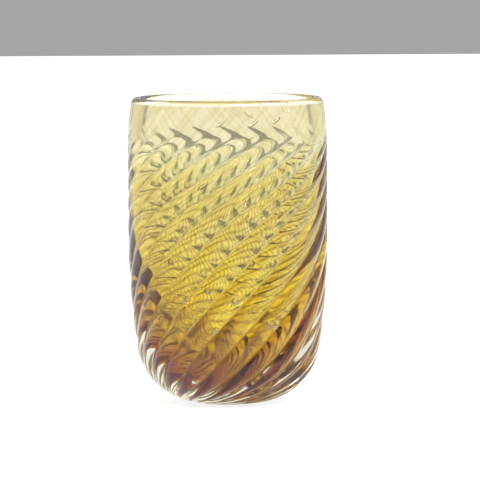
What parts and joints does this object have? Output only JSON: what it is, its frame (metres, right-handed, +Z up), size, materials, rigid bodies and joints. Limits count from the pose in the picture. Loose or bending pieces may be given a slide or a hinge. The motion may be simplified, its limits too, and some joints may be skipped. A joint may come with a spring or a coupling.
{
  "type": "drinking glass",
  "caption": "Hand-blown tumbler: amber glass cased in clear glass with twisted optic ribs, a smooth rounded lip, a thick clear foot and rings of trapped air bubbles.",
  "frame": {"origin": "centre of the flat face the glass rests on", "axes": "+Z up along the axis of the glass, -Y towards the side shown first"},
  "size_m": [0.085, 0.085, 0.13],
  "materials": {
    "clear_glass": "fire-polished clear glass",
    "amber_glass": "amber glass, straw at the top and dark brown where it is thick",
    "air": "air trapped in clear glass"
  },
  "bodies": {
    "root": {"clear_casing": "clear_glass", "amber_core": "amber_glass", "lip_bubbles": "air", "band_bubbles": "air", "shoulder_bubbles": "air", "upper_bubbles": "air", "middle_bubbles": "air", "lower_bubbles": "air", "heel_bubbles": "air", "foot_bubbles": "air"}
  },
  "joints": []
}
